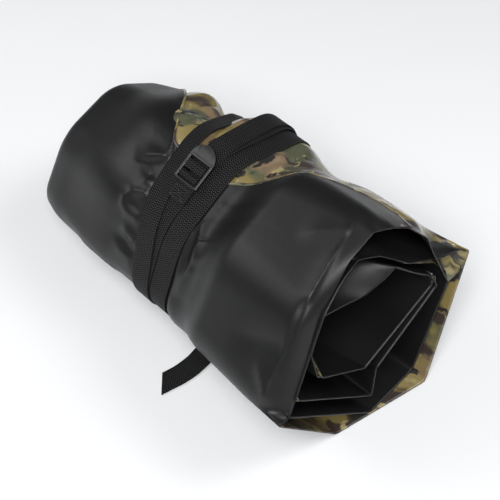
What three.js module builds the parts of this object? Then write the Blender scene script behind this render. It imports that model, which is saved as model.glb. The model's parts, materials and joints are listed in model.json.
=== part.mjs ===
// A rolled-up waterproof ground sheet, held by one long webbing strap with a ladder-lock buckle.
// Millimetres. X runs along the roll, from the closed fold (-X) to the open mouth (+X). Z is up and
// the ground is Z = 0. The origin is the bottom centre of the whole object.
import * as THREE from 'three';

// ---- driving dimensions -------------------------------------------------------------------------
const CLOSED_END = -220;          // X of the closed fold, with the strap's waist near X = 0
const MOUTH_END = 208;            // X of the open mouth
const PLY = 1.0;                  // thickness of one ply of the coated fabric
const HEM = 1.4;                  // thickness of the folded and welded hems
const HEM_SPAN = 0.15;            // width of a hem, in facets
const TURNS = 3;                  // turns of the doubled sheet
const TURN_DEPTH = 0.27;          // share of the way from outline to core that one turn takes
const GAP = 0.3;                  // clearance between neighbours

const WEB_WIDTH = 25;             // webbing
const WEB = 1.4;                  // webbing thickness
const LAYER = WEB + GAP;          // pitch of strap layers

const TILT_PIVOT = 7.5;           // loop bar of the buckle, from the buckle's lower edge
const BUCKLE = { width: 33, length: 44, low: 5.0, high: 7.2, x: -25, facet: 1.5 };

// ---- outlines of the roll -----------------------------------------------------------------------
// Seven corners [y, z], in the order in which the sheet winds inwards from its free edge:
// top back, top, front top, belly, bottom front, bottom back, back. The bottom corners reach below
// the ground, which flattens the sheet there.
const CORNERS = 7;
const MOUTH = [[102, 190], [26, 257], [-75, 206], [-137, 110], [-45, -17], [82, -21], [142, 148]];
const MOUTH_CORE = [[62, 175], [8, 205], [-38, 178], [-78, 128], [-20, 78], [15, 74], [68, 140]];
const WAIST = [[97, 191], [7, 216], [-72, 165], [-104, 75], [-46, -3.5], [60, -4.4], [119, 95]];
const CLOSED = [[98, 146], [24, 184], [-57, 154], [-100, 70], [-44, -8], [54, -10], [118, 68]];
const WAIST_CORE = shrink(WAIST, [2, 100], 0.78);
const CLOSED_CORE = shrink(CLOSED, [4, 85], 0.62);
const WAIST_LIFT = 7.5;           // the strapped waist stands clear of the ground
const CHAMFER = 0.1;              // corners are cut off at this share of a facet
const RIM_HEIGHT = 85;            // middle of the closed end
const MOUTH_SETBACK = [6, 20, 24, 6, 0, 0, 0];   // how far each corner of the mouth stops short
const TURN_SETBACK = 5;           // each inner turn stops this much shorter

const { clamp, lerp, smoothstep } = THREE.MathUtils;

function shrink(outline, centre, factor) {
  return outline.map(([y, z]) => [
    centre[0] + factor * (y - centre[0]),
    centre[1] + factor * (z - centre[1]),
  ]);
}

function mouthShare(x) {
  return 0.75 * smoothstep(x, 25, 80) + 0.25 * clamp((x - 80) / (MOUTH_END - 80), 0, 1);
}

function closedShare(x) {
  return 1 - smoothstep(x, -200, -95);
}

function waistLift(x) {
  return WAIST_LIFT * smoothstep(x, -100, -85) * (1 - smoothstep(x, 28, 70));
}

function cornerAt(x, corner, depth) {
  const tables = [[MOUTH, MOUTH_CORE], [WAIST, WAIST_CORE], [CLOSED, CLOSED_CORE]];
  const mouth = mouthShare(x);
  const closed = closedShare(x);
  const shares = [mouth, 1 - mouth - closed, closed];
  const point = [0, 0];
  tables.forEach(([outer, core], k) => {
    for (const axis of [0, 1]) {
      point[axis] += shares[k] * lerp(outer[corner][axis], core[corner][axis], depth);
    }
  });
  const isBottom = corner === 4 || corner === 5;
  if (isBottom) point[1] += waistLift(x);
  return point;
}

// Splits a place along the wrap into the corner before it and the share of the way to the next.
function locate(facet) {
  const wrapped = ((facet % CORNERS) + CORNERS) % CORNERS;
  const corner = Math.floor(wrapped);
  return { corner, next: (corner + 1) % CORNERS, share: wrapped - corner };
}

// On the straight facets. The rim at the closed end is rounded, so the outline draws in there.
function facetPoint(x, facet, depth) {
  const { corner, next, share } = locate(facet);
  const a = cornerAt(x, corner, depth);
  const b = cornerAt(x, next, depth);
  const rim = 1 - 0.05 * (1 - smoothstep(x, CLOSED_END, -194));
  const y = rim * lerp(a[0], b[0], share);
  const z = RIM_HEIGHT + rim * (lerp(a[1], b[1], share) - RIM_HEIGHT);
  return new THREE.Vector2(y, z);
}

// Anywhere on the outline, with the corners cut off.
function sectionPoint(x, facet, depth) {
  const corner = Math.round(facet);
  const past = facet - corner;
  if (Math.abs(past) >= CHAMFER) return facetPoint(x, facet, depth);
  const before = facetPoint(x, corner - CHAMFER, depth);
  const after = facetPoint(x, corner + CHAMFER, depth);
  return before.lerp(after, (past / CHAMFER + 1) / 2);
}

// ---- the two plies ------------------------------------------------------------------------------
const ply = {
  // the outer ply's free edge is pulled down over the front by the strap
  outer: {
    start: (x) => 1.2 * smoothstep(x, -124, -76) * (1 - smoothstep(x, 40, 140)),
    depth: (x, facet) => TURN_DEPTH * (facet / CORNERS),
  },
  // the inner ply runs on past it as a flap over the top
  inner: {
    start: (x) => -0.6 - 0.8 * smoothstep(x, CLOSED_END, -90),
    depth: (x, facet) => TURN_DEPTH * (facet / CORNERS + 0.63 + 0.07 * mouthShare(x)),
  },
};
const INNER_END = TURNS * CORNERS - 0.5;
const STATIONS = [
  CLOSED_END + 6, -196, -172, -150, -132, -120, -112, -106, -101, -97, -94, -91, -88, -85, -76,
  28, 45, 62, 80, 100, 120, 145, MOUTH_END,
];

function mouthX(facet) {
  const { corner, next, share } = locate(facet);
  const setback = lerp(MOUTH_SETBACK[corner], MOUTH_SETBACK[next], share);
  return MOUTH_END - setback - TURN_SETBACK * Math.max(0, facet) / CORNERS;
}

// Places along the wrap where the section bends: two at each corner.
function bends(from, to) {
  const list = [from];
  for (let corner = Math.ceil(from); corner <= to; corner += 1) {
    for (const facet of [corner - CHAMFER, corner + CHAMFER]) {
      if (facet > from + 0.02 && facet < to - 0.02) list.push(facet);
    }
  }
  list.push(to);
  return list;
}

function inward(x, facet, depth) {
  const before = sectionPoint(x, facet - CHAMFER, depth);
  const after = sectionPoint(x, facet + CHAMFER, depth);
  const along = after.sub(before).normalize();
  return new THREE.Vector2(-along.y, along.x);
}

function plyPoint(side, x, facet, inset) {
  const depth = side.depth(x, facet);
  const point = sectionPoint(x, facet, depth).addScaledVector(inward(x, facet, depth), inset);
  return [x, point.x, Math.max(point.y, inset)];
}

// A closed thin body from a grid of outer points and the matching inner points.
function sheetBody(outer, inner) {
  const rows = outer.length;
  const columns = outer[0].length;
  const positions = [...outer.flat(), ...inner.flat()].flat();
  const at = (layer, row, column) => layer * rows * columns + row * columns + column;
  const index = [];
  const quad = (a, b, c, d) => index.push(a, b, c, a, c, d);
  for (let r = 0; r < rows - 1; r += 1) {
    for (let c = 0; c < columns - 1; c += 1) {
      quad(at(0, r, c), at(0, r, c + 1), at(0, r + 1, c + 1), at(0, r + 1, c));
      quad(at(1, r, c), at(1, r + 1, c), at(1, r + 1, c + 1), at(1, r, c + 1));
    }
  }
  for (let r = 0; r < rows - 1; r += 1) {
    quad(at(0, r, 0), at(0, r + 1, 0), at(1, r + 1, 0), at(1, r, 0));
    const last = columns - 1;
    quad(at(0, r, last), at(1, r, last), at(1, r + 1, last), at(0, r + 1, last));
  }
  for (let c = 0; c < columns - 1; c += 1) {
    quad(at(0, 0, c), at(1, 0, c), at(1, 0, c + 1), at(0, 0, c + 1));
    const last = rows - 1;
    quad(at(0, last, c), at(0, last, c + 1), at(1, last, c + 1), at(1, last, c));
  }
  return outwardBody(positions, index);
}

// Turns the faces outwards, whichever way round the grid was laid.
function outwardBody(positions, index) {
  let volume = 0;
  const corner = [new THREE.Vector3(), new THREE.Vector3(), new THREE.Vector3()];
  for (let t = 0; t < index.length; t += 3) {
    corner.forEach((v, k) => v.fromArray(positions, 3 * index[t + k]));
    volume += corner[0].dot(corner[1].clone().cross(corner[2]));
  }
  const geometry = new THREE.BufferGeometry();
  geometry.setAttribute('position', new THREE.Float32BufferAttribute(positions, 3));
  geometry.setIndex(volume > 0 ? index : index.reverse());
  return geometry;
}

// The ply's grid: columns at the bends, the first ones pushed along where the free edge moves.
function plyGrid(side, edge, columns, inset) {
  return STATIONS.map((station) => columns.map((column, k) => {
    const facet = Math.max(column, edge(station) + 0.03 * k);
    const x = station === MOUTH_END ? mouthX(facet) : station;
    return plyPoint(side, x, facet, inset);
  }));
}

function plyBody(side) {
  const edge = (x) => side.start(x) + HEM_SPAN + 0.005;
  const first = Math.min(...STATIONS.map(edge));
  const columns = bends(first, INNER_END);
  return sheetBody(plyGrid(side, edge, columns, 0), plyGrid(side, edge, columns, PLY));
}

function hemBody(side) {
  const grid = (inset) => STATIONS.map((station) => [0, HEM_SPAN].map((span) => {
    const facet = side.start(station) + span;
    const x = station === MOUTH_END ? mouthX(facet) : station;
    return plyPoint(side, x, facet, inset);
  }));
  return sheetBody(grid(0), grid(HEM));
}

// The fold that joins both plies along the closed end: a rounded channel wound with them.
function foldBody() {
  const edge = STATIONS[0] - GAP;
  const reach = edge - CLOSED_END;
  const columns = bends(0, INNER_END);
  const arc = [0, 0.25, 0.5, 0.75, 1];
  const channel = (facet, inset) => arc.map((t) => {
    const outside = ply.outer.depth(edge, facet);
    const inside = ply.inner.depth(edge, facet);
    const x = edge - (reach - inset) * Math.sin(Math.PI * t);
    const depth = lerp(outside, inside, t);
    const shift = lerp(inset, PLY - inset, t);
    const point = sectionPoint(x, facet, depth)
      .addScaledVector(inward(x, facet, depth), shift);
    return [x, point.x, point.y];
  });
  const outer = columns.map((facet) => channel(facet, 0));
  const inner = columns.map((facet) => channel(facet, PLY));
  return sheetBody(outer, inner);
}

// ---- the strap ----------------------------------------------------------------------------------
const STRAP_X = BUCKLE.x;
// How deep below the waist's outline the strap lies at each corner, just outside the sheet.
const STRAP_DEPTH = [0.1, 0.03, 0.06, 0.1, 0.145, 0.165, 0.08];

function waistPoint(facet) {
  const { corner, next, share } = locate(facet);
  const depth = lerp(STRAP_DEPTH[corner], STRAP_DEPTH[next], share);
  return sectionPoint(STRAP_X, facet, depth);
}

const slopeStart = waistPoint(BUCKLE.facet);
const slopeRun = waistPoint(1 + CHAMFER).sub(waistPoint(2 - CHAMFER));
const slope = slopeRun.clone().normalize();
const slopeAngle = Math.atan2(slope.y, slope.x);
const facetLength = slopeRun.length() / (1 - 2 * CHAMFER);
const MOVING_END = 30.5;          // the webbing that the buckle carries ends here, under the tab
const STILL_FROM = 31.3;          // and the rest of the strap starts here, clear of its swing
const HIDDEN_JOIN = 22.5 - STILL_FROM / facetLength;

// Each row: place along the wrap in facets, X, and how many layers of webbing lie below.
const WINDINGS = [
  [1.5, -25, 0], [2, -27, 0], [3, -31, 0], [4, -32, 0], [5, -26, 0], [6, -13, 0], [7, 0, 0],
  [7.5, 3, 0], [8, 1.5, 0], [9, 0.5, 0], [10, -3, 0], [11, -6, 1], [12, -30, 1], [13, -52, 1],
  [14, -68, 0], [15, -56, 0], [15.5, -52, 0], [15.72, -48, 1], [16, -41, 1], [17, -31, 1],
  [18, -33, 1], [19, -38, 2], [20, -37, 2], [21, -26, 1], [21.5, -25, 1], [22, -26, 0],
  [HIDDEN_JOIN, -25, 0],
];
const TAIL = [
  [HIDDEN_JOIN, -25, 1], [22, -26, 1], [21.5, -27, 2], [21, -26, 2], [20, -24, 3], [19, -13, 3],
  [18.8, -10, 3],
];
const TAIL_ON_GROUND = [[-4, 36], [9, 0], [24, -40], [36, -75], [38, -103], [32.5, -129.5]];
const TIP_SKEW = 6;               // the tail's end is cut at a slant

// Square to the strap's bed between two places on it, away from the roll.
function outwards(one, other) {
  const along = waistPoint(Math.max(one, other)).sub(waistPoint(Math.min(one, other)));
  return new THREE.Vector2(along.y, -along.x).normalize();
}

// A place on the outside of the waist, pushed out square to the facets on both sides of a bend.
function strapPoint([facet, x, layer]) {
  const rise = GAP + WEB / 2 + LAYER * layer;
  const corner = Math.round(facet);
  const side = Math.sign(facet - corner);
  const onBend = Math.abs(Math.abs(facet - corner) - CHAMFER) < 1e-9;
  const facetOut = outwards(corner + side * CHAMFER, corner + side * (1 - CHAMFER));
  const bendOut = outwards(corner - CHAMFER, corner + CHAMFER);
  const out = onBend
    ? facetOut.clone().add(bendOut).divideScalar(1 + facetOut.dot(bendOut))
    : facetOut;
  const point = waistPoint(facet).addScaledVector(out, rise);
  return [x, point.x, point.y];
}

// Fills a strap route in with the bends that it passes.
function routePoints(rows) {
  const forward = rows[rows.length - 1][0] > rows[0][0];
  const ordered = forward ? rows : [...rows].reverse();
  const first = ordered[0][0];
  const last = ordered[ordered.length - 1][0];
  const stops = bends(first, last);
  ordered.forEach(([facet]) => {
    const isBend = Math.abs(facet - Math.round(facet)) < CHAMFER;
    if (!isBend && !stops.includes(facet)) stops.push(facet);
  });
  stops.sort((a, b) => a - b);
  const points = stops.map((facet) => {
    const k = Math.max(1, ordered.findIndex((row) => row[0] >= facet));
    const [low, high] = [ordered[k - 1], ordered[k]];
    const share = (facet - low[0]) / (high[0] - low[0]);
    return strapPoint([facet, lerp(low[1], high[1], share), lerp(low[2], high[2], share)]);
  });
  return forward ? points : points.reverse();
}

// A point in the buckle's own plane: s up the slope, n out from the roll.
function buckleSide(s, n) {
  const out = new THREE.Vector2(-slope.y, slope.x);
  const point = slopeStart.clone().addScaledVector(slope, s).addScaledVector(out, n);
  return [BUCKLE.x, point.x, point.y];
}

// A flat ribbon along its middle line. Its width always lies along X.
function ribbonBody(points, skew = 0) {
  const middle = points.map(([, y, z]) => new THREE.Vector2(y, z));
  const across = middle.map((point, k) => {
    const back = k > 0 ? point.clone().sub(middle[k - 1]).normalize() : null;
    const ahead = k < middle.length - 1 ? middle[k + 1].clone().sub(point).normalize() : null;
    const normals = [back ?? ahead, ahead ?? back].map((v) => new THREE.Vector2(-v.y, v.x));
    return normals[0].clone().add(normals[1]).divideScalar(1 + normals[0].dot(normals[1]));
  });
  const face = (offset) => points.map(([x, y, z], k) => [-1, 1].map((side) => {
    const shear = k === points.length - 1 ? -side * skew : 0;
    return [
      x + (side * WEB_WIDTH) / 2,
      y + offset * across[k].x + shear,
      z + offset * across[k].y,
    ];
  }));
  return sheetBody(face(WEB / 2), face(-WEB / 2));
}

function arcPoints(s, n, radius, fromDeg, toDeg, steps) {
  return Array.from({ length: steps + 1 }, (_, k) => {
    const angle = THREE.MathUtils.degToRad(lerp(fromDeg, toDeg, k / steps));
    return [s + radius * Math.cos(angle), n + radius * Math.sin(angle)];
  });
}

// From the turned-back end, over and round the loop bar, and on into the windings.
function strapBody() {
  const loop = [
    [-19, 2.7], [-2, 2.7], [2.4, 2.7], [3.9, 3.6], [4.5, 5.4], [4.6, 7.4], [5.6, 8.6],
    ...arcPoints(TILT_PIVOT, 5, 4, 90, -90, 6),
  ].map(([s, n]) => buckleSide(s, n));
  return ribbonBody([...loop, ...routePoints(WINDINGS)]);
}

// The stretch that goes up through the buckle, over its middle bar and back under its tab.
function threadedBody() {
  const run = [
    [MOVING_END, 1], [15.4, 1], [13.9, 2.5], [13.9, 7.2], [15.2, 8.4], [22.2, 8.4],
    [23.5, 7.2], [23.5, 4.4], [25.2, 2.8], [27.5, 2.7], [MOVING_END, 2.7],
  ];
  return ribbonBody(run.map(([s, n]) => buckleSide(s, n)));
}

function tailBody() {
  const ground = TAIL_ON_GROUND.map(([x, y]) => [x, y, WEB / 2]);
  return ribbonBody([...routePoints(TAIL), ...ground], TIP_SKEW);
}

// ---- the buckle ---------------------------------------------------------------------------------
const RAIL_INSIDE = 13.2;         // half of the slots' length
const SLOTS = [[2.2, 6.0], [9.0, 16.0], [21.5, 27.0]];
const TAB_START = 28;

function slotHole([low, high]) {
  const hole = new THREE.Path();
  hole.moveTo(-RAIL_INSIDE, low);
  hole.lineTo(-RAIL_INSIDE, high);
  hole.lineTo(RAIL_INSIDE, high);
  hole.lineTo(RAIL_INSIDE, low);
  hole.closePath();
  return hole;
}

// A moulded ladder: edge rim, loop bar, middle bar and a D-shaped lift tab between two rails.
function buckleBody() {
  const half = BUCKLE.width / 2;
  const round = 3;
  const outline = new THREE.Shape();
  outline.moveTo(half, TAB_START);
  outline.absellipse(0, TAB_START, half, BUCKLE.length - TAB_START, 0, Math.PI);
  outline.lineTo(-half, round);
  outline.quadraticCurveTo(-half, 0, round - half, 0);
  outline.lineTo(half - round, 0);
  outline.quadraticCurveTo(half, 0, half, round);
  outline.closePath();
  outline.holes = SLOTS.map(slotHole);
  const bevel = 0.4;
  const body = new THREE.ExtrudeGeometry(outline, {
    depth: BUCKLE.high - BUCKLE.low - 2 * bevel,
    bevelThickness: bevel,
    bevelSize: bevel,
    bevelOffset: -bevel,
    bevelSegments: 1,
    curveSegments: 6,
  });
  return body.translate(0, 0, BUCKLE.low + bevel);
}

// The stitched box that closes the loop.
function stitchBody() {
  const box = (halfWidth, low, high) => [
    [-halfWidth, low], [halfWidth, low], [halfWidth, high], [-halfWidth, high],
  ].map(([x, s]) => new THREE.Vector2(x, s));
  const outline = new THREE.Shape(box(9.5, -17, -5));
  outline.holes = [new THREE.Path(box(7.5, -15, -7))];
  const body = new THREE.ExtrudeGeometry(outline, { depth: 0.6, bevelEnabled: false });
  return body.translate(0, 0, 2.7 + WEB / 2 + GAP);
}

// ---- assembly -----------------------------------------------------------------------------------
const finish = {
  blackFace: { color: 0x1b1c1e, roughness: 0.5, metalness: 0 },
  printedFace: { color: 0x6f6638, roughness: 0.25, metalness: 0 },
  webbing: { color: 0x17181a, roughness: 0.85, metalness: 0 },
  thread: { color: 0x222326, roughness: 0.7, metalness: 0 },
  plastic: { color: 0x141516, roughness: 0.4, metalness: 0 },
};

function piece(name, geometry, look) {
  const mesh = new THREE.Mesh(geometry, new THREE.MeshStandardMaterial(finish[look]));
  mesh.name = name;
  return mesh;
}

const roll = new THREE.Group();
roll.add(
  piece('outer_ply', plyBody(ply.outer), 'blackFace'),
  piece('inner_ply', plyBody(ply.inner), 'printedFace'),
  piece('closed_end_fold', foldBody(), 'blackFace'),
  piece('outer_edge_hem', hemBody(ply.outer), 'blackFace'),
  piece('inner_edge_hem', hemBody(ply.inner), 'printedFace'),
  piece('strap_webbing', strapBody(), 'webbing'),
  piece('strap_tail', tailBody(), 'webbing'),
  piece('threaded_webbing', threadedBody(), 'webbing'),
);

const buckle = new THREE.Group();
buckle.position.set(BUCKLE.x, slopeStart.x, slopeStart.y);
buckle.rotation.x = slopeAngle;
buckle.add(
  piece('ladder_lock', buckleBody(), 'plastic'),
  piece('loop_stitching', stitchBody(), 'thread'),
);
roll.add(buckle);

roll.updateMatrixWorld(true);
const box = new THREE.Box3().setFromObject(roll);
const centre = box.getCenter(new THREE.Vector3());
roll.position.set(-centre.x, -centre.y, -box.min.z);
roll.updateMatrixWorld(true);

export default roll;
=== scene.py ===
"""A rolled-up waterproof ground sheet, held by a wound webbing strap with a ladder-lock buckle.

Shapes are worked out in millimetres, in the design frame of the CAD part, and moved into the
shared frame in metres when a mesh is made. X runs along the roll, from the closed fold to the mouth.
"""
import json
import math

import bmesh
import bpy
import numpy as np
from mathutils import Matrix, Vector


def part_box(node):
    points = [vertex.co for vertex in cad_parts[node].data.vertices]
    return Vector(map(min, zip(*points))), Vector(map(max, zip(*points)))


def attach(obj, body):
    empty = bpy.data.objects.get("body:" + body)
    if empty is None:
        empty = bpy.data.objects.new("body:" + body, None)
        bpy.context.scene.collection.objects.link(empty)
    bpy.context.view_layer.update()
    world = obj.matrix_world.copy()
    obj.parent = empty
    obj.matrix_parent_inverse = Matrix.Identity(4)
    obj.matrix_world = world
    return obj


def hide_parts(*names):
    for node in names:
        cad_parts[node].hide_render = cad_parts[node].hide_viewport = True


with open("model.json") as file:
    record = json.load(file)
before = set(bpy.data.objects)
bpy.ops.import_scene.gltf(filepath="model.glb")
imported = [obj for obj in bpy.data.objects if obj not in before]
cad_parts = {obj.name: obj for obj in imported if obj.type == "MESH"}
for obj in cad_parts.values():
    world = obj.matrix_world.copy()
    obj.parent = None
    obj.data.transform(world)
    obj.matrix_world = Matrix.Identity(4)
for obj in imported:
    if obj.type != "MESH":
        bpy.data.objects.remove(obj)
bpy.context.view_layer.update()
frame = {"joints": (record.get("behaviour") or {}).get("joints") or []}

# ---- dimensions, mm ------------------------------------------------------------------------------
CLOSED_END = -220
MOUTH_END = 208
CORNERS = 7                       # corners of the roll's outline, so also facets in one turn
SHEET = 0.9                       # thickness of the coated fabric
HEM = 0.25                        # thickness of the hem that lies on the outer ply's free edge
FOLD_BULGE = 6                    # how far the fold at the closed end reaches past the plies
TURNS_END = 20.5                  # facets from the free edge to the inner end
TURN_DEPTH = 0.27                 # share of the way to the core that one turn goes inwards
WAIST_LIFT = 7.5                  # the strapped waist's bottom corners are raised by this
UNDER_FLAP = 3.0                  # how far the turns below the flap are pushed in beside the strap
DEEPEST_DENT = -6.5               # the lowest that the relief goes on the outside
PLY_PITCH = 1.3                   # from one ply to the next where they lie on the ground
SOFT_FLOOR = 3                    # height over which the sheet eases onto the ground
WEB_WIDTH = 25
WEB = 1.4                         # thickness of the webbing
LAYER = 1.7                       # from one layer of webbing to the next
GAP = 0.3                         # clearance under the webbing, and under the sheet
TILT_PIVOT = (7.5, 5.0)           # the buckle's loop bar: up the slope, out from the roll
STILL_FROM = 31.3                 # up the slope: the strap that doesn't tilt starts here
TAIL_END_Y = -135.5               # lowest y of the tail in the design frame
CAMERA_TARGET = (-42.5, 70.5, 0)
CAMERA_AZIMUTH = 46.5             # degrees
CAMERA_ELEVATION = 48.0           # degrees
CAMERA_DISTANCE = 1.353           # m
CAMERA_LENS = 82.8

OFFSET = np.array([
    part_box("closed_end_fold")[0].x * 1000 - CLOSED_END,
    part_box("strap_tail")[0].y * 1000 - TAIL_END_Y,
    0.0,
])

# Seven corners (y, z) per outline, in the order in which the sheet winds inwards: top back, top,
# front top, belly, bottom front, bottom back, back.
MOUTH = np.array([
    [(100, 189), (26, 257), (-75, 206), (-136, 111), (-40, -4), (72, -6), (133, 149)],
    [(72, 194), (14, 238), (-66, 197), (-114, 108), (4, 0), (71, 6), (112, 118)],
    [(60, 178), (15, 218), (-60, 192), (-102, 121), (10, 20), (12, 67), (94, 129)],
    [(50, 172), (10, 200), (-54, 184), (-72, 128), (-10, 84), (38, 111), (84, 136)],
], float)
WAIST = np.array([(101, 194), (7, 216), (-72, 165), (-105, 74), (-46, -3.5), (60, -4.4), (122, 98)])
CLOSED = np.array([(95, 144), (24, 184), (-57, 154), (-103, 68), (-46, -10), (54, -10), (118, 68)],
                  float)
RIM_HEIGHT = 85                   # height of the middle that the closed end's rim draws in to
WAIST_MIDDLE = np.array([2, 100])
CLOSED_MIDDLE = np.array([4, RIM_HEIGHT])
WAIST_CORE = WAIST_MIDDLE + 0.78 * (WAIST - WAIST_MIDDLE)
CLOSED_CORE = CLOSED_MIDDLE + 0.62 * (CLOSED - CLOSED_MIDDLE)
# how deep the strap lies at each corner, as a share of the way to the core
STRAP_BED = np.array([0.1, 0.03, 0.06, 0.1, 0.145, 0.165, 0.08])


def smooth(x, low, high):
    """Eases from 0 at low to 1 at high."""
    t = np.clip((np.asarray(x, float) - low) / (high - low), 0, 1)
    return t * t * (3 - 2 * t)


def profile(x, table, blur=0.0):
    """A curve through (place, value) rows, its corners eased over blur on each side."""
    places, values = zip(*table)
    offsets = np.linspace(-1, 1, 9)
    weights = np.cos(offsets * math.pi / 2) + 0.05
    total = sum(w * np.interp(x + o * blur, places, values) for o, w in zip(offsets, weights))
    return total / weights.sum()


# ---- the roll's cross-sections -------------------------------------------------------------------
def mouth_share(x):
    """How much the mouth's outlines count at x."""
    return 0.75 * smooth(x, 25, 80) + 0.25 * np.clip((x - 80) / (MOUTH_END - 80), 0, 1)


def closed_share(x):
    """How much the closed end's outline counts at x."""
    return 1 - smooth(x, -200, -95)


def corner_point(x, corner, level, depth):
    """level picks the nested outline at the mouth; depth the share of the way in elsewhere."""
    corner = np.mod(corner, CORNERS).astype(int)
    low = np.clip(np.floor(level), 0, 2).astype(int)
    part = (level - low)[..., None]
    mouth = MOUTH[low, corner] * (1 - part) + MOUTH[low + 1, corner] * part
    deep = depth[..., None]
    waist = WAIST[corner] * (1 - deep) + WAIST_CORE[corner] * deep
    closed = CLOSED[corner] * (1 - deep) + CLOSED_CORE[corner] * deep
    at_mouth = mouth_share(x)[..., None]
    at_closed = closed_share(x)[..., None]
    point = mouth * at_mouth + closed * at_closed + waist * (1 - at_mouth - at_closed)
    lift = WAIST_LIFT * smooth(x, -100, -85) * (1 - smooth(x, 28, 70))
    is_bottom = (corner == 4) | (corner == 5)
    point[..., 1] += lift * is_bottom
    return point


def section(x, facet, level, depth, ease):
    """A point on the heptagon's outline whose corners are rounded over ease facets each side."""
    x, facet, level, depth, ease = np.broadcast_arrays(x, facet, level, depth, ease)
    corner = np.rint(facet)
    past = (facet - corner)[..., None]
    middle = corner_point(x, corner, level, depth)
    before = corner_point(x, corner - 1, level, depth)
    after = corner_point(x, corner + 1, level, depth)
    straight = middle + np.where(past >= 0, (after - middle) * past, (middle - before) * past)
    w = ease[..., None]
    u = np.clip((past / w + 1) / 2, 0, 1)
    start = middle + (before - middle) * w
    end = middle + (after - middle) * w
    bend = (1 - u) ** 2 * start + 2 * u * (1 - u) * middle + u ** 2 * end
    point = np.where(np.abs(past) < w, bend, straight)
    rim = 1 - 0.085 * (1 - smooth(x, CLOSED_END - 6, -178)) ** 1.6
    return np.stack([rim * point[..., 0], RIM_HEIGHT + rim * (point[..., 1] - RIM_HEIGHT)], -1)


def strap_bed(facet):
    corner = np.floor(facet)
    share = facet - corner
    before = STRAP_BED[np.mod(corner, CORNERS).astype(int)]
    after = STRAP_BED[np.mod(corner + 1, CORNERS).astype(int)]
    return before * (1 - share) + after * share


# ---- how the sheet lies --------------------------------------------------------------------------
# where the outer ply's free edge lies along the wrap, at places along X
OUTER_START = [(-220, 0.0), (-180, 0.05), (-152, 0.3), (-125, 0.5), (-103, 0.76), (-88, 0.98),
               (-72, 1.2), (-30, 1.3), (6, 1.24), (33, 1.08), (62, 0.98), (82, 0.74), (102, 0.55),
               (119, 0.42), (137, 0.33), (162, 0.36), (189, 0.5), (208, 0.55)]
# which of the mouth's nested outlines each ply follows, at places along the wrap
OUTER_LEVEL = [(0, 0), (5, 0), (5.6, 0.12), (6, 0.32), (6.5, 0.7), (7, 1.05), (8, 1.55), (9, 1.78),
               (10, 1.83), (12.5, 1.83), (13, 1.9), (14, 2.4), (15, 2.68), (16, 2.74), (21, 2.76)]
INNER_LEVEL = [(-1.4, -0.05), (-1, 0.0), (0, 0.12), (0.6, 0.3), (1.2, 0.7), (2, 1), (6, 1.0),
               (6.5, 1.2), (7, 1.38), (8, 1.78), (9, 2.0), (10, 2.05), (12.5, 2.05), (13, 2.15),
               (14, 2.64), (15, 2.92), (16, 2.99), (21, 3.0)]
# the mouth's cut edges: place along the wrap, then x, y and z
OUTER_EDGE = [(0.3, 190, 80, 209), (0.5, 190, 61, 226), (0.8, 187, 34, 243), (1.12, 181, 12, 248),
              (1.42, 180, -17, 230), (1.68, 184, -39, 212), (2, 187, -61, 191), (2.45, 195, -85, 145),
              (2.88, 204, -112, 104), (3, 208, -131, 112), (4, 205, -40, 0), (5, 224, 74, 1),
              (6, 208, 135, 150), (6.5, 206, 120, 163), (7, 203, 98, 166), (7.5, 197, 54, 186),
              (8, 189, 16, 220), (8.35, 183, -8, 230), (8.7, 184, -30, 218), (9, 190, -58, 196),
              (9.5, 196, -84, 150), (10, 202, -104, 120), (11, 202, 11, 20), (12, 202, 12, 66),
              (13, 202, 95, 128), (13.5, 202, 92, 142), (14, 203, 86, 148), (14.5, 199, 60, 170),
              (15, 198, 31, 201), (15.25, 195, 18, 189), (15.5, 193, -5, 184), (15.75, 190, -30, 189),
              (16, 188, -58, 194), (16.5, 195, -78, 160), (17, 201, -73, 127), (18, 202, -10, 84),
              (19, 202, 38, 111), (20, 202, 84, 136), (20.5, 202, 87, 150)]
INNER_EDGE = [(-1.4, 203, 118, 118), (-1, 207, 136, 149), (-0.8, 208, 131, 157), (-0.6, 208, 134, 151),
              (-0.3, 207, 127, 128), (-0.15, 206, 109, 122), (0.12, 205, 76, 190), (0.35, 203, 66, 217),
              (0.6, 190, 48, 235), (1, 174, 19, 241), (1.5, 172, -25, 221), (2, 172, -66, 194),
              (2.6, 178, -98, 140), (2.85, 186, -110, 116), (3, 206, -114, 108), (4, 211, 5, 2),
              (5, 207, 72, 9), (6, 206, 110, 120), (6.5, 204, 104, 142), (7, 198, 92, 158),
              (7.5, 191, 52, 182), (8, 183, 18, 215), (8.35, 177, -6, 225), (9, 184, -60, 193),
              (9.5, 190, -82, 148), (9.9, 196, -98, 126), (10, 205, -101, 122), (11, 206, 8, 24),
              (12, 206, 9, 69), (13, 206, 91, 131), (13.5, 203, 88, 141), (14, 198, 82, 145),
              (15, 192, 29, 197), (15.25, 189, 16, 184), (15.5, 187, -5, 178), (15.75, 184, -29, 184),
              (16, 182, -54, 189), (16.5, 189, -74, 158), (17, 205, -70, 129), (18, 206, -9, 88),
              (19, 206, 36.5, 114), (20, 206, 81, 139), (20.5, 206, 83, 150)]
# where, along X, the fabric starts to bend towards its cut edge
BEND_START = [(-1.4, 150), (-0.6, 160), (0.2, 168), (0.7, 140), (0.95, 156), (1.35, 163), (1.6, 167),
              (2.1, 175), (2.5, 178), (2.85, 182), (3, 160), (3.3, 120), (6.5, 120), (7, 140), (9, 150),
              (14, 140), (15, 160), (16, 160), (17, 130), (21, 130)]
# how far the folded end is drawn in at places round the outline
FOLD_SETBACK = [(0, 4), (1, 4), (2, 6), (3, 2), (4, 0), (5, 0), (6, 2), (7, 4)]


def inner_start(x):
    return -0.6 - 0.8 * smooth(x, CLOSED_END, -90)


def outer_depth(facet):
    return TURN_DEPTH * facet / CORNERS


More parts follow.
